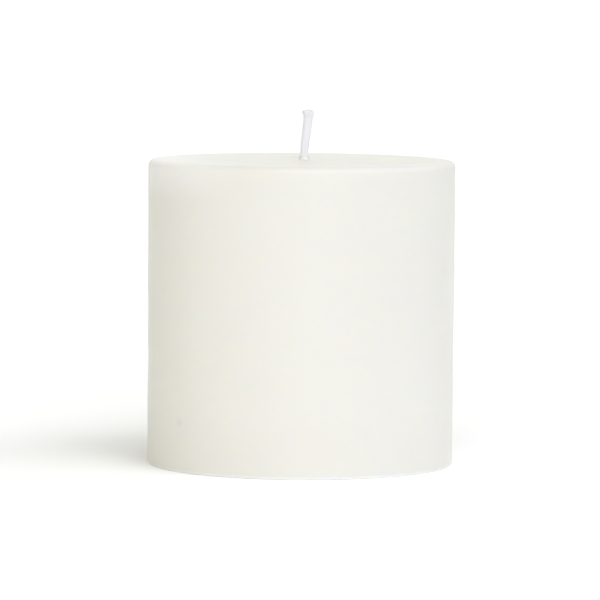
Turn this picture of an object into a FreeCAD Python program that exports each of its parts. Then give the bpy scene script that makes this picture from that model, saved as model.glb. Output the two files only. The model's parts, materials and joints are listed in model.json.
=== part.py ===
"""A plain round pillar candle, standing on its flat base.

Millimetres, +Z up. The origin is the centre of the base, and the wax axis is Z.
The wax is a pressed core under a dipped outer skin. One braided wick runs up through it, crimped at
its foot into a steel tab that a poured wax plug seals in. The free end of the wick is flexible, so it
is divided into short links that bend on one another, in turn sideways and forwards.
"""

import FreeCAD, Part
import math
import os

# Driving dimensions: the wax
BASE_D = 76.05
TOP_D = 76.25  # the walls open out very slightly towards the top
HEIGHT = 75.5
RIM_R = 1.65  # rounding of the top rim
FOOT_R = 0.5  # rounding of the bottom edge
SKIN = 2.2  # thickness of the dipped skin, on the side and on the top

# Driving dimensions: the wick
WICK_D = 2.1
WICK_X = 0.5  # the wick stands a little to one side of the wax axis
STUB_ROOT = 1.5  # free height of the wick that stays fixed to the wax
LINK = 2.82  # from one bending point to the next
LEANS = (5.2, 7.3, 6.0, 2.5)  # each link's lean from upright, towards +X, in degrees
KNUCKLE_R = 1.2  # rounding of a link's upper end, about its bending axis
KNUCKLE_GAP = 0.05  # clearance between that end and the next link's hollow
TIP_D = 2.8  # the cut end is splayed
TIP_FLARE = 1.2  # length over which it splays
TIP_EDGE = 0.25

# Driving dimensions: the wax collar drawn up round the wick
COLLAR_D = 3.8
COLLAR_H = 1.0
COLLAR_LIP = 0.12  # wax left round the wick at the collar's top

# Driving dimensions: the foot of the wick
PLUG_D = 22.0
PLUG_H = 1.4
TAB_D = 20.0
TAB_T = 0.3
NECK_WALL = 0.35
NECK_H = 5.0
LIP_D = 3.4  # rolled lip at the neck's mouth
CRIMP_DENTS = 4
DENT_D = 1.6
DENT_DEPTH = 0.18

WICK_R = WICK_D / 2
TAB_Z = PLUG_H
NECK_TOP = TAB_Z + TAB_T + NECK_H
NECK_R = WICK_R + NECK_WALL
WICK_AXIS = FreeCAD.Vector(WICK_X, 0, 0)


def point(radius, height):
    """A point of a profile, in the XZ half-plane that is turned about Z."""
    return FreeCAD.Vector(radius, 0, height)


def line(start, end):
    return Part.LineSegment(point(*start), point(*end)).toShape()


def arc(start, middle, end):
    return Part.Arc(point(*start), point(*middle), point(*end)).toShape()


def turned(edges):
    """The solid made by turning a closed profile about the Z axis."""
    face = Part.Face(Part.Wire(edges))
    return face.revolve(FreeCAD.Vector(0, 0, 0), FreeCAD.Vector(0, 0, 1), 360)


def on_wick_axis(shape):
    return shape.translated(WICK_AXIS)


def rod(radius, low, high):
    """An upright cylinder on the wick's axis."""
    foot = FreeCAD.Vector(WICK_X, 0, low)
    return Part.makeCylinder(radius, high - low, foot)


def round_edge(shape, radius, height):
    """Round the widest circular edge at this height."""
    level = [e for e in shape.Edges if abs(e.BoundBox.ZMin - height) + abs(e.BoundBox.ZMax - height) < 1e-6]
    widest = max(level, key=lambda e: e.BoundBox.XLength)
    return shape.makeFillet(radius, [widest])


def wax_core():
    """The pressed body, with the channel for the wick and the recess for its tab and plug."""
    core = Part.makeCone(BASE_D / 2 - SKIN, TOP_D / 2 - SKIN, HEIGHT - SKIN)
    core = round_edge(core, RIM_R, HEIGHT - SKIN)
    core = core.cut(rod(PLUG_D / 2, 0, PLUG_H))
    core = core.cut(rod(TAB_D / 2, TAB_Z, TAB_Z + TAB_T))
    core = core.cut(rod(LIP_D / 2, TAB_Z, NECK_TOP))
    return core.cut(rod(WICK_R, NECK_TOP, HEIGHT))


def collar():
    """The small meniscus of wax that climbs the wick."""
    foot, top = COLLAR_D / 2, WICK_R + COLLAR_LIP
    low, face, high = HEIGHT - SKIN / 2, HEIGHT, HEIGHT + COLLAR_H
    hollow = (top + 0.3 * (foot - top), face + 0.3 * COLLAR_H)
    edges = [
        line((0, low), (foot, low)),
        line((foot, low), (foot, face)),
        arc((foot, face), hollow, (top, high)),
        line((top, high), (0, high)),
        line((0, high), (0, low)),
    ]
    return on_wick_axis(turned(edges))


def outer_skin():
    """The dipped skin over the side and the top, with the collar round the wick."""
    skin = Part.makeCone(BASE_D / 2, TOP_D / 2, HEIGHT)
    skin = round_edge(skin, RIM_R, HEIGHT)
    skin = round_edge(skin, FOOT_R, 0)
    inside = Part.makeCone(BASE_D / 2 - SKIN, TOP_D / 2 - SKIN, HEIGHT - SKIN)
    inside = round_edge(inside, RIM_R, HEIGHT - SKIN)
    skin = skin.cut(inside).fuse(collar())
    return skin.cut(rod(WICK_R, 0, HEIGHT + STUB_ROOT)).removeSplitter()


def base_plug():
    """The disc of wax poured into the base over the wick's tab."""
    return rod(PLUG_D / 2, 0, PLUG_H)


def wick_tab():
    """The stamped steel tab: a thin disc with a tall neck crimped on to the wick."""
    tab = rod(TAB_D / 2, TAB_Z, TAB_Z + TAB_T).fuse(rod(NECK_R, TAB_Z, NECK_TOP))
    lip_tube = (LIP_D / 2 - WICK_R) / 2
    lip = Part.makeTorus(WICK_R + lip_tube, lip_tube, FreeCAD.Vector(WICK_X, 0, NECK_TOP - lip_tube))
    tab = tab.fuse(lip)
    reach = NECK_R + DENT_D / 2 - DENT_DEPTH
    for i in range(CRIMP_DENTS):
        turn = 2 * math.pi * i / CRIMP_DENTS
        dent = FreeCAD.Vector(WICK_X + reach * math.cos(turn), reach * math.sin(turn), (TAB_Z + NECK_TOP) / 2)
        tab = tab.cut(Part.makeSphere(DENT_D / 2, dent))
    return tab.cut(rod(WICK_R, TAB_Z, NECK_TOP)).removeSplitter()


def leaning(lean, up=FreeCAD.Vector(0, 0, 1)):
    """This direction, tipped from upright towards +X by a lean in degrees."""
    return FreeCAD.Rotation(FreeCAD.Vector(0, 1, 0), lean).multVec(up)


def bending_points():
    """The lower bending point of each link, from the lowest link up, and then the wick's top."""
    found = [FreeCAD.Vector(WICK_X, 0, HEIGHT + STUB_ROOT)]
    for lean in LEANS:
        found.append(found[-1] + leaning(lean) * LINK)
    return found


def bending_axes():
    """The axis of each bend, from the lowest up: in turn sideways (about Y) and forwards (about X).

    An axis about X is tipped square to the link below it.
    """
    axes = []
    for i, lean_below in enumerate((0,) + LEANS[:-1]):
        sideways = i % 2 == 0
        axes.append(FreeCAD.Vector(0, 1, 0) if sideways else leaning(lean_below, FreeCAD.Vector(1, 0, 0)))
    return axes


def barrel(centre, axis, radius):
    """A cylinder about a bending axis, wide enough to cross the whole wick."""
    return Part.makeCylinder(radius, 2 * TIP_D, centre - axis * TIP_D, axis)


def knuckle(centre, lean, axis):
    """The rounded end that carries the next link: wick above a bending point, cut round about its axis."""
    end = Part.makeCylinder(WICK_R, KNUCKLE_R, centre, leaning(lean))
    return end.common(barrel(centre, axis, KNUCKLE_R))


def wick_in_wax():
    """The wick from its tab to its first bending point."""
    bend, axis = bending_points()[0], bending_axes()[0]
    return rod(WICK_R, TAB_Z, bend.z).fuse(knuckle(bend, 0, axis)).removeSplitter()


def free_wick():
    """The links of the free wick, each leaning as it does when the candle is new."""
    names = ("wick_root", "wick_lower", "wick_upper", "wick_tip")
    bends, axes = bending_points(), bending_axes()
    links = {}
    for i, (name, lean) in enumerate(zip(names, LEANS)):
        link = Part.makeCylinder(WICK_R, LINK, bends[i], leaning(lean))
        if name == names[-1]:
            link = link.fuse(splayed_end(bends[i], lean))
        else:
            link = link.fuse(knuckle(bends[i + 1], lean, axes[i + 1]))
        links[name] = link.cut(barrel(bends[i], axes[i], KNUCKLE_R + KNUCKLE_GAP)).removeSplitter()
        print(f"{name} bends at {bends[i]} about {axes[i]}")
    return links


def splayed_end(low, lean):
    """The cut end of the wick, where the braid spreads."""
    up = leaning(lean)
    tip = TIP_D / 2
    flare = Part.makeCone(WICK_R, tip, TIP_FLARE, low + up * (LINK - TIP_EDGE - TIP_FLARE), up)
    edge = Part.makeCone(tip, tip - TIP_EDGE, TIP_EDGE, low + up * (LINK - TIP_EDGE), up)
    return flare.fuse(edge)


def main():
    nodes = {
        "wax_core": wax_core(),
        "outer_wax_skin": outer_skin(),
        "base_plug": base_plug(),
        "wick_tab": wick_tab(),
        "wick_in_wax": wick_in_wax(),
    }
    nodes.update(free_wick())
    os.makedirs("parts", exist_ok=True)
    for name, shape in nodes.items():
        shape.exportStep(f"parts/{name}.step")
        print(f"{name}: {shape.Volume:.2f} mm3, {len(shape.Solids)} solid, valid {shape.isValid()}")


main()
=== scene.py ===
"""The looks of a plain pillar candle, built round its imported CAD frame. Metres, +Z up.

The wax skin, the plug and the braided wick are new meshes in the CAD pieces' places. The pressed core
and the steel tab stay as they are in the CAD model and get their materials here.
"""

import json
import math
import random

import bmesh
import bpy
from mathutils import Matrix, Vector, noise

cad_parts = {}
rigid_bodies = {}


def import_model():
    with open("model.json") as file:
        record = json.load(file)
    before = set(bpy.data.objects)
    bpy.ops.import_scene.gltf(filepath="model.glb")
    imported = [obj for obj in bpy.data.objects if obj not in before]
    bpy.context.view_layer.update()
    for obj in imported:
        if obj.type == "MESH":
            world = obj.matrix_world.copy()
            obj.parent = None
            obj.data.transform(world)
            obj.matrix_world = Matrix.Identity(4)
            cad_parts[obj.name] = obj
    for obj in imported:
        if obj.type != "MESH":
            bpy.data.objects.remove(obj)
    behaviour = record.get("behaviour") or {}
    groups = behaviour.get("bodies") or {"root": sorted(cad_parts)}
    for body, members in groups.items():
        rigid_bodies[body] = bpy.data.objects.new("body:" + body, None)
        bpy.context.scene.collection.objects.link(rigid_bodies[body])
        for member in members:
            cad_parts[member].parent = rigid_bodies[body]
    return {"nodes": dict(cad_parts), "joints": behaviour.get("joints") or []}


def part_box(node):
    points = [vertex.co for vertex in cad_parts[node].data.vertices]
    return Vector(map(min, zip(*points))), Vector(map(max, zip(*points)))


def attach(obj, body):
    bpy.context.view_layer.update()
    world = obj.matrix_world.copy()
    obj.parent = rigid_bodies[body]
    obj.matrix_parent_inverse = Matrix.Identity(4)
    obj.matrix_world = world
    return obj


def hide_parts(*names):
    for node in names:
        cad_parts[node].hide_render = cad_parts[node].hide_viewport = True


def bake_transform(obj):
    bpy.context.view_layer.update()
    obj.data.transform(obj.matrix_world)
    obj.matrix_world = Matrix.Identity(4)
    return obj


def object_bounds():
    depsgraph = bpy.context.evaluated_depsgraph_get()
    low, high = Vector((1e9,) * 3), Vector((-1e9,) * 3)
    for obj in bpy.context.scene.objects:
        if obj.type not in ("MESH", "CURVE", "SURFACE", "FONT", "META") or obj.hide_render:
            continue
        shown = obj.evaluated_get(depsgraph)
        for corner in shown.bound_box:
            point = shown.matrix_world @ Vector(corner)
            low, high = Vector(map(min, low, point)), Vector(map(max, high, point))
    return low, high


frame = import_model()
CAD_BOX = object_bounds()

MM = 0.001

# The wax, from the frame
SKIN_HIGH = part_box("outer_wax_skin")[1]
CORE_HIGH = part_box("wax_core")[1]
TOP_R = SKIN_HIGH.x
SKIN = TOP_R - CORE_HIGH.x
WAX_TOP = CORE_HIGH.z + SKIN
COLLAR_TOP = SKIN_HIGH.z

# The wax, where the frame's boxes don't say
NARROWING = 0.1 * MM  # how much less the radius is at the base
RIM_R = 1.65 * MM
FOOT_R = 0.3 * MM
COLLAR_R = 1.9 * MM
COLLAR_LIP = 0.1 * MM
CORE_GAP = 0.02 * MM  # air between the skin and the core, so that their faces don't coincide
SKIN_COLUMNS = 320
SIDE_ROWS = 120
SHARP_EDGE = math.radians(50)  # edges over this angle stay sharp
PLUG_SUNK = 0.35  # how far the plug has sunk in its middle, in mm

# Unevenness of the skin, in mm: broad waves, small ripples, and streaks from the dipping
WAVE_SIZE, WAVE_DEPTH = 16 * MM, 0.035
RIPPLE_SIZE, RIPPLE_DEPTH = 4 * MM, 0.007
STREAK_DEPTH = 0.012
STREAKS_AROUND = 9  # a larger number gives narrower streaks
STREAK_LENGTH = 40 * MM

# Marks in the skin: degrees round from +X, height of the middle, width, height and depth, in mm
PIT = (-140.7, 12.6, 2.4, 1.7, 0.38)
MARKS = (
    PIT,
    (-176, 39, 9, 13, 0.14),
    (-177, 27, 8, 20, 0.16),
    (-4, 32, 7, 12, 0.12),
    (60, 50, 9, 16, 0.08),
    (115, 20, 7, 10, 0.08),
)

# The wick, from the frame
JOINTS = [Vector(joint["pos_m"]) for joint in frame["joints"]]
JOINT_BODIES = [(joint["parent"], joint["child"]) for joint in frame["joints"]]
WICK_X = JOINTS[0].x
WICK_LOW, WICK_ROOT_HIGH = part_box("wick_in_wax")
WICK_R = WICK_ROOT_HIGH.x - WICK_X
HOLE_R = 0.86 * WICK_R  # the skin's hole grips the wick, so that no gap shows
LINK = (JOINTS[1] - JOINTS[0]).length

# The wick: a square braid, whose stitches stand in columns and slant to the left and right in turn
BRAID_COLUMNS = 8
STITCH = 1.35 * MM  # height from one stitch to the next above it
SLANT = 0.8  # how far a stitch climbs across its column, in stitches
STITCH_DEPTH = 0.075 * MM
STITCH_END_DEPTH = 0.45  # of the stitch's own depth, where one stitch meets the next above it
STITCH_END_REACH = 0.16  # of the height from one stitch to the next
PLY_DEPTH = 0.01 * MM
PLIES_ACROSS = 2.5
PLIES_ALONG = 1.6
TIP_LEAN = math.radians(2.5)
FLAT_TURN = math.radians(6)  # how far the wick's flats are turned from the row's axes
SQUARENESS = 3.2  # power of the section's superellipse
CREASE_HEIGHT = 10.5  # above the wax, in mm: where the cutter pinched the wick
CREASE_DEPTH = 0.05 * MM
FRESH_COTTON = 2.0  # the crown value of the cut end and the loose fibres, which have no priming wax
CREASE_REACH = 0.35  # half the crease's height, in mm
CUT_DEPTH = 0.75 * MM  # from the end of the last link down to the edge of the cut
DOME = 0.52 * MM
WICK_COLUMNS = 120
WICK_STEP = 0.065 * MM
WAXED_COLUMNS = 64
WAXED_STEP = 0.16 * MM
FUZZ_COUNT = 7  # stray fibres on each piece of the wick
FRAYED_COUNT = 110  # fibres round the cut end
TUFTS = ((math.pi, 34, 0.6), (0, 12, 0.35))  # of each: the direction, how many fibres, and their length in mm

# Half the wick's width at heights above the wax, all in mm
WICK_WIDTHS = (
    (-2.0, 0.98),
    (0.0, 0.95),
    (2.3, 0.97),
    (4.8, 1.01),
    (7.3, 1.09),
    (9.8, 1.11),
    (11.0, 1.24),
    (11.7, 1.36),
    (12.0, 1.34),
)


# ---------------------------------------------------------------- small helpers

def mix(a, b, share):
    return a + (b - a) * share


def smooth(low, high, value):
    """0 below low, 1 above high, and a smooth step between."""
    t = min(1, max(0, (value - low) / (high - low)))
    return t * t * (3 - 2 * t)


def bump_at(distance, radius):
    """1 at no distance, falling smoothly to nothing at the radius and beyond."""
    return 1 - smooth(0, radius, distance)


def wrapped(angle):
    """The same angle, between -pi and pi."""
    return (angle + math.pi) % (2 * math.pi) - math.pi


def fractal(place, size, octaves=3):
    """Soft noise between about -1 and 1, with features of this size."""
    return sum(noise.noise(place / size * 2 ** i) / 2 ** i for i in range(octaves))


def arc(centre, radius, start, end, steps):
    """Points of a circular arc in the (radius, height) half-plane, both ends included."""
    angles = [math.radians(mix(start, end, i / steps)) for i in range(steps + 1)]
    return [(centre[0] + radius * math.cos(a), centre[1] + radius * math.sin(a)) for a in angles]


def straight(start, end, steps):
    """Evenly spaced points between two places, neither end included."""
    return [tuple(mix(a, b, i / steps) for a, b in zip(start, end)) for i in range(1, steps)]


def ring_faces(rings, columns, closed=False):
    """Quads between rings of vertices. Where closed, the last ring joins the first."""
    faces = []
    for i in range(rings if closed else rings - 1):
        low, high = i * columns, (i + 1) % rings * columns
        for j in range(columns):
            k = (j + 1) % columns
            faces.append((low + j, low + k, high + k, high + j))
    return faces


def fan(ring, centre):
    """Triangles from a ring of vertex numbers to a centre vertex."""
    return [(ring[j], ring[(j + 1) % len(ring)], centre) for j in range(len(ring))]


def piece(name, vertices, faces, material, replaced):
    """A closed, smooth-shaded piece that stands for a CAD node."""
    mesh = bpy.data.meshes.new(name)
    mesh.from_pydata(vertices, [], faces)
    work = bmesh.new()
    work.from_mesh(mesh)
    bmesh.ops.recalc_face_normals(work, faces=work.faces)
    for edge in work.edges:
        edge.smooth = edge.calc_face_angle(0) < SHARP_EDGE
    for face in work.faces:
        face.smooth = True
    work.to_mesh(mesh)
    work.free()
    mesh.materials.append(material)
    made = bpy.data.objects.new(name, mesh)
    bpy.context.collection.objects.link(made)
    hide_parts(replaced)
    return made


# ---------------------------------------------------------------- the wax

def skin_profile():
    """The skin's closed section: up its outside, in over its top, and back down its inside."""
    base_r = TOP_R - NARROWING
    inner_top = TOP_R - SKIN + CORE_GAP
    inner_base = base_r - SKIN + CORE_GAP
    ceiling = WAX_TOP - SKIN + CORE_GAP
    crest = (HOLE_R + COLLAR_LIP, COLLAR_TOP - COLLAR_LIP)
    outside = arc((base_r - FOOT_R, FOOT_R), FOOT_R, -90, 0, 8)
    outside += straight((base_r, FOOT_R), (TOP_R, WAX_TOP - RIM_R), SIDE_ROWS)
    outside += arc((TOP_R - RIM_R, WAX_TOP - RIM_R), RIM_R, 0, 90, 12)
    outside += straight((TOP_R - RIM_R, WAX_TOP), (3 * COLLAR_R, WAX_TOP), 40)
    outside += straight((3 * COLLAR_R, WAX_TOP), (COLLAR_R, WAX_TOP), 16)
    climb = [i / 12 for i in range(12)]
    outside += [
        (mix(COLLAR_R, crest[0] + COLLAR_LIP, t), mix(WAX_TOP, crest[1], t ** 2.2)) for t in climb
    ]
    outside += arc(crest, COLLAR_LIP, 0, 180, 6)
    inside = straight((HOLE_R, crest[1]), (HOLE_R, ceiling), 8)
    inside += [(HOLE_R, ceiling)]
    inside += straight((HOLE_R, ceiling), (inner_top - RIM_R, ceiling), 12)
    inside += arc((inner_top - RIM_R, ceiling - RIM_R), RIM_R, 90, 0, 6)
    inside += straight((inner_top, ceiling - RIM_R), (inner_base, 0), 30)
    inside += [(inner_base, 0)]
    inside += straight((inner_base, 0), (base_r - FOOT_R, 0), 3)
    return outside, inside


def skin_relief(place, turn):
    """How far the skin's outside stands out from its plain shape."""
    relief = WAVE_DEPTH * fractal(place, WAVE_SIZE)
    elsewhere = Vector((3, 1, 2))
    relief += RIPPLE_DEPTH * fractal(place + elsewhere, RIPPLE_SIZE)
    around = (math.cos(turn) * STREAKS_AROUND, math.sin(turn) * STREAKS_AROUND)
    relief += STREAK_DEPTH * noise.noise(Vector((*around, place.z / STREAK_LENGTH)))
    for degrees, height, width, tall, depth in MARKS:
        aside = wrapped(turn - math.radians(degrees)) * TOP_R / MM / (width / 2)
        above = (place.z / MM - height) / (tall / 2)
        relief -= depth * bump_at(math.hypot(aside, above), 1)
    return relief * MM


def wax_skin(material):
    """The dipped skin: a closed shell with soft waves in its wall and a meniscus round the wick."""
    outside, inside = skin_profile()
    profile = outside + inside
    vertices = []
    for i, (radius, height) in enumerate(profile):
        before, after = profile[i - 1], profile[(i + 1) % len(profile)]
        out = Vector((after[1] - before[1], before[0] - after[0])).normalized()
        shift = WICK_X * bump_at(radius - COLLAR_R, 10 * MM)  # the collar is round the wick, not the axis
        carved = smooth(0, FOOT_R, height) * smooth(COLLAR_R, 2 * COLLAR_R, radius) * (i < len(outside))
        for j in range(SKIN_COLUMNS):
            turn = 2 * math.pi * j / SKIN_COLUMNS
            place = Vector((radius * math.cos(turn), radius * math.sin(turn), height))
            lift = carved * skin_relief(place, turn) if carved else 0
            r, z = radius + out.x * lift, height + out.y * lift
            vertices.append((shift + r * math.cos(turn), r * math.sin(turn), z))
    faces = ring_faces(len(profile), SKIN_COLUMNS, closed=True)
    skin = piece("dipped_skin", vertices, faces, material, "outer_wax_skin")
    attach(skin, "candle")


def poured_plug(material):
    """The plug: sunk a little in its middle, as poured wax sets, and smooth where it meets its recess."""
    low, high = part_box("base_plug")
    rim = high.x - CORE_GAP
    rows, columns = 24, 128
    vertices = []
    for i in range(rows):
        share = i / rows
        for j in range(columns):
            turn = 2 * math.pi * j / columns
            place = Vector((rim * (1 - share) * math.cos(turn), rim * (1 - share) * math.sin(turn), 0))
            sunk = PLUG_SUNK * smooth(0, 0.35, share) + 0.03 * fractal(place, 5 * MM) * smooth(0, 0.2, share)
            vertices.append((place.x, place.y, low.z + sunk * MM))
    bottom = len(vertices)
    vertices.append((0, 0, low.z + PLUG_SUNK * MM))
    wall = len(vertices)
    for height in (high.z, high.z - 0.1 * MM, low.z + 0.3 * MM):
        for j in range(columns):
            turn = 2 * math.pi * j / columns
            vertices.append((rim * math.cos(turn), rim * math.sin(turn), height))
    top = len(vertices)
    vertices.append((0, 0, high.z))
    faces = ring_faces(rows, columns)
    faces += fan([(rows - 1) * columns + j for j in range(columns)], bottom)
    faces += [tuple(wall + n for n in face) for face in ring_faces(3, columns)]
    faces += fan([wall + j for j in range(columns)], top)
    last = wall + 2 * columns
    faces += [(last + j, last + (j + 1) % columns, (j + 1) % columns, j) for j in range(columns)]
    plug = piece("poured_plug", vertices, faces, material, "base_plug")
    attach(plug, "candle")


# ---------------------------------------------------------------- the wick

def interpolated(points, value):
    """Straight-line interpolation in a list of (value, result) pairs."""
    for (low, a), (high, b) in zip(points, points[1:]):
        if value <= high:
            return mix(a, b, max(0, (value - low) / (high - low)))
    return points[-1][1]


WICK_END = JOINTS[-1] + LINK * Vector((math.sin(TIP_LEAN), 0, math.cos(TIP_LEAN)))
WICK_KNOTS = [Vector((WICK_X, 0, WICK_LOW.z)), Vector((WICK_X, 0, WAX_TOP))] + JOINTS + [WICK_END]


def wick_centre(height):
    """The smooth centre line: how far it is from the wax axis at this height, and its lean."""
    slopes = [(b.x - a.x) / (b.z - a.z) for a, b in zip(WICK_KNOTS, WICK_KNOTS[1:])]
    bends = [slopes[0]] + [(a + b) / 2 for a, b in zip(slopes, slopes[1:])] + [slopes[-1]]
    i = sum(height > knot.z for knot in WICK_KNOTS[1:-1])
    low, high = WICK_KNOTS[i], WICK_KNOTS[i + 1]
    span = high.z - low.z
    t = (height - low.z) / span
    rise = high.x - low.x
    a, b = bends[i] * span - rise, rise - bends[i + 1] * span
    x = mix(low.x, high.x, t) + t * (1 - t) * (a * (1 - t) + b * t)
    slope = (rise + (1 - 2 * t) * (a * (1 - t) + b * t) + t * (1 - t) * (b - a)) / span
    return x, math.atan(slope)


def braid(turn, height):
    """How far this place is below the stitches' crowns, from 0 to 1, and the ridges of the plies."""
    around = (turn - FLAT_TURN) * BRAID_COLUMNS / (2 * math.pi)
    column = math.floor(around)
    across = around - column - 0.5
    slant = 1 if column % 2 else -1
    along = height / STITCH + slant * SLANT * across + 0.5 * (column // 2 % 2)
    along -= round(along)
    edge = 1 - math.sqrt(max(0, 1 - (2 * across) ** 2))
    end = STITCH_END_DEPTH * bump_at(0.5 - abs(along), STITCH_END_REACH)
    plies = math.cos(2 * math.pi * (PLIES_ACROSS * across + PLIES_ALONG * slant * along))
    return min(1, edge + end), plies


def wick_radius(turn, height):
    """The wick's radius in this direction, and how much of its surface here is a stitch's crown."""
    above = (height - WAX_TOP) / MM
    half = interpolated(WICK_WIDTHS, above) * MM
    flat = turn - FLAT_TURN
    section = (abs(math.cos(flat)) ** SQUARENESS + abs(math.sin(flat)) ** SQUARENESS) ** (-1 / SQUARENESS)
    depth, plies = braid(turn, height)
    waxed = mix(0.35, 1, smooth(0.5, 5, above))  # the wax fills the stitches near the foot
    uneven = 0.03 * MM * fractal(Vector((math.cos(turn), math.sin(turn), height / MM / 2.5)), 1)
    crease = CREASE_DEPTH * bump_at(abs(above - CREASE_HEIGHT), CREASE_REACH)
    relief = waxed * (STITCH_DEPTH * depth - PLY_DEPTH * plies)
    return half * section + uneven - crease - relief, 1 - depth


def wick_rings(low, high, columns, step):
    """Rings of the wick's surface between two heights, square to its centre line."""
    count = max(2, round((high - low) / step) + 1)
    rings, crowns = [], []
    for i in range(count):
        height = mix(low, high, i / (count - 1))
        x, lean = wick_centre(height)
        for j in range(columns):
            turn = 2 * math.pi * j / columns
            radius, crown = wick_radius(turn, height)
            aside = radius * math.cos(turn)
            rings.append((
                x + aside * math.cos(lean),
                radius * math.sin(turn),
                height - aside * math.sin(lean),
            ))
            crowns.append(crown)
    return rings, crowns, count


def fibre(vertices, faces, start, heading, length, thickness, rng):
    """Adds one loose cotton fibre: a thin closed tube that curls as it goes."""
    sides, steps = 5, 6
    place, heading = start.copy(), heading.normalized()
    curl = Vector([rng.uniform(-1, 1) for _ in range(3)]) * 0.35
    first = len(vertices)
    for i in range(steps + 1):
        across = heading.orthogonal().normalized()
        up = heading.cross(across)
        radius = thickness / 2 * (1 - 0.5 * i / steps)
        for j in range(sides):
            a = 2 * math.pi * j / sides
            vertices.append(tuple(place + radius * (math.cos(a) * across + math.sin(a) * up)))
        heading = (heading + curl).normalized()
        place = place + heading * (length / steps)
    faces += [tuple(first + n for n in face) for face in ring_faces(steps + 1, sides)]
    faces.append(tuple(first + j for j in range(sides)))
    faces.append(tuple(first + steps * sides + j for j in range(sides)))


def cut_end(vertices, columns):
    """Closes the wick's top with a low dome, roughened as sheared cotton is. Returns its rings."""
    last = [Vector(v) for v in vertices[-columns:]]
    middle = sum(last, Vector()) / columns
    axis = Vector((math.sin(TIP_LEAN), 0, math.cos(TIP_LEAN)))
    steps = 10
    for i in range(1, steps):
        share = 1 - i / steps
        for v in last:
            place = middle + (v - middle) * share
            rough = 0.06 * MM * fractal(place, 0.3 * MM) * smooth(0, 3, i)
            vertices.append(tuple(place + axis * (DOME * (1 - share ** 2.1) + rough)))
    vertices.append(tuple(middle + axis * DOME))
    return steps - 1


def wick_piece(name, low, high, columns, step, material, replaced, seed, tip=False):
    """One closed length of the braid between two heights, with its loose fibres."""
    rng = random.Random(seed)
    vertices, crowns, rings = wick_rings(low, high, columns, step)
    if tip:
        rings += cut_end(vertices, columns)
    else:
        vertices.append(tuple(sum((Vector(v) for v in vertices[-columns:]), Vector()) / columns))
    top = len(vertices) - 1
    vertices.append(tuple(sum((Vector(v) for v in vertices[:columns]), Vector()) / columns))
    faces = ring_faces(rings, columns)
    faces += fan([(rings - 1) * columns + j for j in range(columns)], top)
    faces += fan(list(range(columns)), top + 1)
    if low > WAX_TOP:
        fuzz(vertices, faces, low, high, rng)
    if tip:
        frayed_edge(vertices, faces, high, rng)
    made = piece(name, vertices, faces, material, replaced)
    crowns += [FRESH_COTTON] * (len(vertices) - len(crowns))
    made.data.attributes.new("crown", "FLOAT", "POINT").data.foreach_set("value", crowns)
    return made


def on_wick(turn, height, out=0):
    """A place on the wick's surface, or a little outside it, and the direction straight out there."""
    x, lean = wick_centre(height)
    radius = wick_radius(turn, height)[0] + out
    heading = Vector((math.cos(turn) * math.cos(lean), math.sin(turn), -math.cos(turn) * math.sin(lean)))
    return Vector((x, 0, height)) + radius * heading, heading


def fuzz(vertices, faces, low, high, rng):
    """A few stray fibres that lie almost flat along the braid."""
    for _ in range(FUZZ_COUNT):
        turn, height = rng.uniform(0, 2 * math.pi), rng.uniform(low, high - 0.4 * MM)
        start, out = on_wick(turn, height, -0.03 * MM)
        heading = out * 0.6 + Vector((rng.uniform(-0.4, 0.4), rng.uniform(-0.4, 0.4), rng.uniform(0.3, 1)))
        fibre(vertices, faces, start, heading, rng.uniform(0.2, 0.5) * MM, 0.03 * MM, rng)


def frayed_edge(vertices, faces, high, rng):
    """Fibres round the cut end, with small tufts that stand out on its -X and +X sides."""
    for _ in range(FRAYED_COUNT):
        turn = rng.uniform(0, 2 * math.pi)
        start, out = on_wick(turn, high - rng.uniform(-0.25, 0.3) * MM, -rng.uniform(0.1, 0.5) * MM)
        heading = out + Vector((0, 0, rng.uniform(-0.1, 1.6)))
        fibre(vertices, faces, start, heading, rng.uniform(0.15, 0.4) * MM, 0.045 * MM, rng)
    for middle, count, reach in TUFTS:
        for _ in range(count):
            turn = middle + rng.gauss(0.1, 0.25)
            start, out = on_wick(turn, high - rng.uniform(0, 0.35) * MM, -0.15 * MM)
            heading = out + Vector((0, 0, rng.gauss(0, 0.2)))
            fibre(vertices, faces, start, heading, reach * rng.uniform(0.6, 1) * MM, 0.07 * MM, rng)


def wick(material):
    """The braid from its tab to its cut end, divided half way between the bends, so that each piece holds one
    of them.
    """
    cuts = [WAX_TOP] + [(a.z + b.z) / 2 for a, b in zip(JOINTS, JOINTS[1:])] + [WICK_END.z - CUT_DEPTH]
    foot = wick_piece(
        "wick_foot", WICK_LOW.z, cuts[0], WAXED_COLUMNS, WAXED_STEP, material, "wick_in_wax", 1
    )
    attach(foot, "candle")
    for i, (below, above) in enumerate(JOINT_BODIES):
        low, high = cuts[i], cuts[i + 1]
        name = above.replace("wick_", "braid_")
        braid_piece = wick_piece(
            name, low, high, WICK_COLUMNS, WICK_STEP, material, above, 10 + i, tip=i == len(JOINTS) - 1
        )
        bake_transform(braid_piece)


# ---------------------------------------------------------------- materials

def new_material(name, **sockets):
    """A node material with these plain values on its shader: the material, its tree and its shader."""
    material = bpy.data.materials.new(name)
    material.use_nodes = True
    tree = material.node_tree
    shader = tree.nodes["Principled BSDF"]
    for socket, value in sockets.items():
        shader.inputs[socket.replace("_", " ")].default_value = value
    return material, tree, shader


def node(tree, kind, operation=None, **inputs):
    """A shader node with some inputs set: a socket is linked, and anything else is its value."""
    made = tree.nodes.new("ShaderNode" + kind)
    if operation:
        made.operation = operation
    for name, value in inputs.items():
        socket = made.inputs[int(name[1:])] if name[0] == "i" and name[1:].isdigit() else made.inputs[name]
        if isinstance(value, bpy.types.NodeSocket):
            tree.links.new(value, socket)
        else:
            socket.default_value = value
    return made


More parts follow.
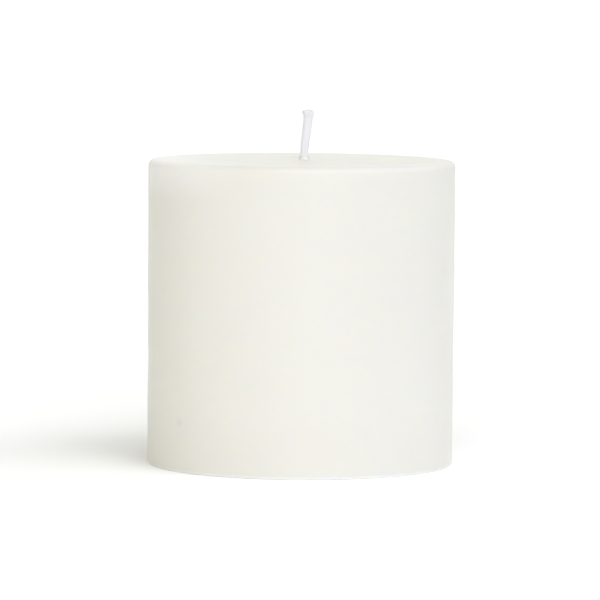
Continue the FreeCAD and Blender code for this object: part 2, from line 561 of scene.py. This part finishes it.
def object_place(tree, scale=(1, 1, 1), shift=(0, 0, 0)):
    """Object coordinates, which are the row frame's, stretched by a scale and then shifted."""
    place = tree.nodes.new("ShaderNodeTexCoord").outputs["Object"]
    return node(tree, "Mapping", Vector=place, Scale=scale, Location=shift).outputs["Vector"]


def noise_at(tree, size, detail=3, scale=(1, 1, 1)):
    """Noise between 0 and 1 with features of this size."""
    made = node(tree, "TexNoise", Vector=object_place(tree, scale), Scale=1 / size, Detail=detail)
    return made.outputs["Fac"]


def remap(tree, value, low, high, to_low, to_high):
    """A value moved from one range to another, and kept inside it."""
    made = node(tree, "MapRange", Value=value)
    made.inputs["From Min"].default_value = low
    made.inputs["From Max"].default_value = high
    made.inputs["To Min"].default_value = to_low
    made.inputs["To Max"].default_value = to_high
    return made.outputs["Result"]


def mixed(tree, factor, a, b):
    """A colour between two colours. Each is a socket or four numbers."""
    made = tree.nodes.new("ShaderNodeMix")
    made.data_type = "RGBA"
    for socket, value in ((made.inputs[0], factor), (made.inputs[6], a), (made.inputs[7], b)):
        if isinstance(value, bpy.types.NodeSocket):
            tree.links.new(value, socket)
        else:
            socket.default_value = value
    return made.outputs[2]


def bumped(tree, shader, height, distance, normal=None):
    """Gives the shader a bumped normal, on top of another one if that is given."""
    made = node(tree, "Bump", Height=height, Distance=distance, Strength=1.0)
    if normal:
        tree.links.new(normal, made.inputs["Normal"])
    tree.links.new(made.outputs["Normal"], shader.inputs["Normal"])
    return made.outputs["Normal"]


def wax_material(name, **sockets):
    """A wax: light goes in a little way and comes out again, and blue light goes in least."""
    material, tree, shader = new_material(name, Subsurface_Scale=1.5 * MM, IOR=1.44, **sockets)
    shader.inputs["Subsurface Radius"].default_value = (1.0, 0.85, 0.6)
    return material, tree, shader


def length_of(tree, place):
    return node(tree, "VectorMath", "LENGTH", i0=place).outputs["Value"]


def both(tree, a, b):
    """Where both masks are, from 0 to 1."""
    return node(tree, "Math", "MULTIPLY", i0=a, i1=b).outputs["Value"]


def dipped_wax():
    """Ivory wax, satin and slightly translucent, with faint clouds, a little darker towards the foot and
    rougher at the rim. Painted shade darkens the rim and the pit, painted light brightens the top band on the
    -X side and the bottom edge, and the collar has both.
    """
    material, tree, shader = wax_material("dipped_wax")
    split = node(tree, "SeparateXYZ", Vector=object_place(tree)).outputs
    from_axis = length_of(tree, object_place(tree, scale=(1, 1, 0)))
    from_wick = length_of(tree, object_place(tree, scale=(1, 1, 0), shift=(-WICK_X, 0, 0)))
    turn = math.radians(PIT[0])
    pit_place = Vector((TOP_R * math.cos(turn), TOP_R * math.sin(turn), PIT[1] * MM))
    from_pit = length_of(tree, object_place(tree, shift=-pit_place))

    clouds = remap(tree, noise_at(tree, 16 * MM, scale=(1, 1, 0.35)), 0.3, 0.7, 0, 1)
    foot = remap(tree, split["Z"], 2 * MM, 16 * MM, 1, 0)
    # Painted shade: the rounded rim gets a darker colour, which cancels its highlight; the same mask makes
    # the rim rougher
    rim = both(
        tree,
        remap(tree, split["Z"], WAX_TOP - 1.8 * MM, WAX_TOP - 0.5 * MM, 0, 1),
        remap(tree, from_axis, TOP_R - 1.8 * MM, TOP_R - 0.7 * MM, 0, 1),
    )
    # Painted light: a paler band below the top on the -X side, which stands in for light coming through the
    # wax at the rim
    painted_glow = both(
        tree,
        remap(tree, split["Z"], WAX_TOP - 9 * MM, WAX_TOP - 3 * MM, 0, 1),
        remap(tree, split["X"], -15 * MM, -34 * MM, 0, 1),
    )
    # Painted light: the bottom 0.7 mm is paler, which lifts the contact shadow where the wax meets the floor
    painted_base_light = remap(tree, split["Z"], 0.2 * MM, 0.7 * MM, 1, 0)
    # Painted shade: the pit's dent is given a darker colour, as its own shading is lost in the blur of the
    # translucency
    pit_shade = remap(tree, from_pit, 0.7 * MM, 1.6 * MM, 1, 0)
    # Painted light and shade on the collar: its -X side is paler, which lifts its shade, and the rest is
    # darker, which tones down its lit front
    collar = remap(tree, from_wick, 1.6 * MM, 3.2 * MM, 1, 0)
    collar_left_light = remap(tree, split["X"], WICK_X - 2 * MM, WICK_X - 0.6 * MM, 1, 0)

    color = mixed(tree, clouds, (0.726, 0.717, 0.677, 1), (0.732, 0.724, 0.684, 1))
    color = mixed(tree, foot, color, (0.703, 0.693, 0.652, 1))
    color = mixed(tree, rim, color, (0.68, 0.672, 0.65, 1))
    color = mixed(tree, painted_glow, color, (0.80, 0.795, 0.79, 1))
    color = mixed(tree, painted_base_light, color, (0.84, 0.83, 0.80, 1))
    color = mixed(tree, pit_shade, color, (0.697, 0.685, 0.645, 1))
    collar_light_and_shade = mixed(tree, collar_left_light, (0.70, 0.695, 0.68, 1), (0.86, 0.855, 0.85, 1))
    tree.links.new(mixed(tree, collar, color, collar_light_and_shade), shader.inputs["Base Color"])

    # Less translucent at the collar, so that the light isn't lost in the hole
    weight = remap(tree, from_wick, 1.2 * MM, 4 * MM, 0.35, 1)
    tree.links.new(weight, shader.inputs["Subsurface Weight"])
    satin = remap(tree, noise_at(tree, 6 * MM), 0.3, 0.7, 0.34, 0.44)
    rough = node(tree, "Math", "ADD", i0=satin, i1=remap(tree, rim, 0, 1, 0, 0.2)).outputs["Value"]
    tree.links.new(rough, shader.inputs["Roughness"])
    streaks = noise_at(tree, 2.2 * MM, 2, scale=(1, 1, 0.12))
    fine = noise_at(tree, 0.35 * MM, 2)
    normal = bumped(tree, shader, streaks, 0.012 * MM)
    bumped(tree, shader, fine, 0.004 * MM, normal=normal)
    return material


def pressed_wax():
    """The core: wax granules pressed together, with their outlines still to be seen."""
    material, tree, shader = wax_material("pressed_wax", Subsurface_Weight=1.0, Roughness=0.6)
    cells = node(tree, "TexVoronoi", Vector=object_place(tree), Scale=1 / (1.1 * MM))
    cells.feature = "DISTANCE_TO_EDGE"
    seams = remap(tree, cells.outputs["Distance"], 0.0, 0.12, 0, 1)
    clouds = remap(tree, noise_at(tree, 3 * MM), 0.35, 0.65, 0, 1)
    granule = mixed(tree, clouds, (0.73, 0.72, 0.675, 1), (0.75, 0.745, 0.71, 1))
    tree.links.new(mixed(tree, seams, (0.66, 0.645, 0.59, 1), granule), shader.inputs["Base Color"])
    bumped(tree, shader, seams, 0.08 * MM)
    return material


def plug_wax():
    """The plug: poured wax, a little yellower and glossier than the skin."""
    material, tree, shader = wax_material("plug_wax", Subsurface_Weight=1.0)
    clouds = remap(tree, noise_at(tree, 5 * MM), 0.3, 0.7, 0, 1)
    color = mixed(tree, clouds, (0.69, 0.67, 0.60, 1), (0.73, 0.715, 0.655, 1))
    tree.links.new(color, shader.inputs["Base Color"])
    rough = remap(tree, noise_at(tree, 2 * MM), 0.3, 0.7, 0.25, 0.4)
    tree.links.new(rough, shader.inputs["Roughness"])
    bumped(tree, shader, noise_at(tree, 1.5 * MM), 0.03 * MM)
    return material


def wick_cotton():
    """Bleached cotton with a cool white cast, stiff with priming wax, with painted shade between its
    stitches.
    """
    material, tree, shader = new_material(
        "wick_cotton", Roughness=0.8, Sheen_Weight=1.0, Sheen_Roughness=0.5
    )
    crown = node(tree, "Attribute")
    crown.attribute_name = "crown"
    # Painted shade: the hollows between the stitches get a darker colour than the crowns
    lit = remap(tree, crown.outputs["Fac"], 0.0, 0.8, 0, 1)
    shaded_strands = mixed(tree, lit, (0.73, 0.72, 0.75, 1), (0.765, 0.752, 0.785, 1))
    lint = remap(tree, noise_at(tree, 0.12 * MM, 3, scale=(1, 1, 0.35)), 0.35, 0.65, 0.12, 0)
    primed = mixed(tree, lint, shaded_strands, (0.5, 0.49, 0.52, 1))
    fresh = remap(tree, crown.outputs["Fac"], 1.1, 1.9, 0, 1)
    tree.links.new(mixed(tree, fresh, primed, (0.665, 0.665, 0.66, 1)), shader.inputs["Base Color"])
    bumped(tree, shader, noise_at(tree, 0.08 * MM, 3, scale=(1, 1, 0.3)), 0.02 * MM)
    return material


def tinned_steel():
    """Rolled and tinned sheet: fine scratches that go round the tab, with dull patches."""
    material, tree, shader = new_material("tinned_steel", Metallic=1.0)
    dull = remap(tree, noise_at(tree, 3 * MM), 0.35, 0.65, 0, 1)
    color = mixed(tree, dull, (0.60, 0.60, 0.59, 1), (0.72, 0.72, 0.71, 1))
    tree.links.new(color, shader.inputs["Base Color"])
    rough = remap(tree, dull, 0, 1, 0.45, 0.3)
    tree.links.new(rough, shader.inputs["Roughness"])
    bumped(tree, shader, noise_at(tree, 0.3 * MM, 2, scale=(1, 0.08, 1)), 0.01 * MM)
    return material


# ---------------------------------------------------------------- stage

def sun(name, azimuth, elevation, softness, strength, color=(1, 1, 1)):
    """A soft distant light. Azimuth 0 shines from the front, and 90 from +X."""
    data = bpy.data.lights.new(name, "SUN")
    data.energy = strength
    data.angle = math.radians(softness)
    data.color = color
    lamp = bpy.data.objects.new(name, data)
    bpy.context.collection.objects.link(lamp)
    a, e = math.radians(azimuth), math.radians(elevation)
    towards = Vector((math.sin(a) * math.cos(e), -math.cos(a) * math.cos(e), math.sin(e)))
    lamp.rotation_euler = towards.to_track_quat("Z", "Y").to_euler()


def floor():
    """A matt white floor, far larger than any view of the candle."""
    material, tree, shader = new_material("white_sweep", Base_Color=(1, 1, 1, 1), Roughness=1.0)
    shader.inputs["Specular IOR Level"].default_value = 0.0
    mesh = bpy.data.meshes.new("floor")
    grid = bmesh.new()
    bmesh.ops.create_grid(grid, x_segments=8, y_segments=8, size=200)
    grid.to_mesh(mesh)
    grid.free()
    mesh.materials.append(material)
    made = bpy.data.objects.new("floor", mesh)
    bpy.context.collection.objects.link(made)


def world():
    """White at and under the horizon, where the camera can see it, and dark above."""
    sky = bpy.data.worlds.new("light_tent")
    bpy.context.scene.world = sky
    sky.use_nodes = True
    tree = sky.node_tree
    heading = tree.nodes.new("ShaderNodeTexCoord").outputs["Generated"]
    up = node(tree, "SeparateXYZ", Vector=heading).outputs["Z"]
    tent = mixed(tree, remap(tree, up, 0.03, 0.04, 0, 1), (1, 1, 1, 1), (0, 0, 0, 1))
    tree.links.new(tent, tree.nodes["Background"].inputs["Color"])
    tree.nodes["Background"].inputs["Strength"].default_value = 1.0


def camera():
    """A long lens a little above the candle's rim."""
    height = CAD_BOX[1].z - CAD_BOX[0].z
    distance = 1.05
    view_width = 0.1495
    elevation = math.radians(4.62)
    roll = math.radians(0.45)
    aim = Vector((-0.22 * MM, 0, CAD_BOX[0].z + 0.4591 * height))
    back = Vector((0, -math.cos(elevation), math.sin(elevation)))
    data = bpy.data.cameras.new("camera")
    data.sensor_width = 36
    data.lens = data.sensor_width * distance / view_width
    data.clip_end = 500
    eye = bpy.data.objects.new("camera", data)
    bpy.context.collection.objects.link(eye)
    eye.location = aim + back * distance
    turn = (-back).to_track_quat("-Z", "Y").to_matrix().to_4x4()
    eye.rotation_euler = (turn @ Matrix.Rotation(roll, 4, "Z")).to_euler()
    bpy.context.scene.camera = eye


wax_skin(dipped_wax())
poured_plug(plug_wax())
wick(wick_cotton())
frame["nodes"]["wax_core"].material_slots[0].material = pressed_wax()
frame["nodes"]["wick_tab"].material_slots[0].material = tinned_steel()

floor()
world()
sun("low_from_left", -60, 12, 60, 0.88, (1.05, 1.0, 0.71))
sun("low_from_front", 0, 12, 60, 0.87, (1.0, 1.0, 1.14))
sun("key_from_front", 15, 25, 40, 0.54, (1.0, 1.0, 1.10))
sun("high_from_front", 0, 60, 60, 1.10, (0.98, 1.0, 0.97))
sun("high_from_right", 50, 50, 40, 0.79, (0.975, 1.0, 1.01))
sun("side_from_right", 85, 40, 40, 0.455)
sun("rim_from_right", 120, 40, 40, 0.32)
sun("from_behind", 180, 32, 70, 1.10, (1.0, 1.0, 0.955))
camera()
bpy.context.scene.view_settings.view_transform = "Standard"
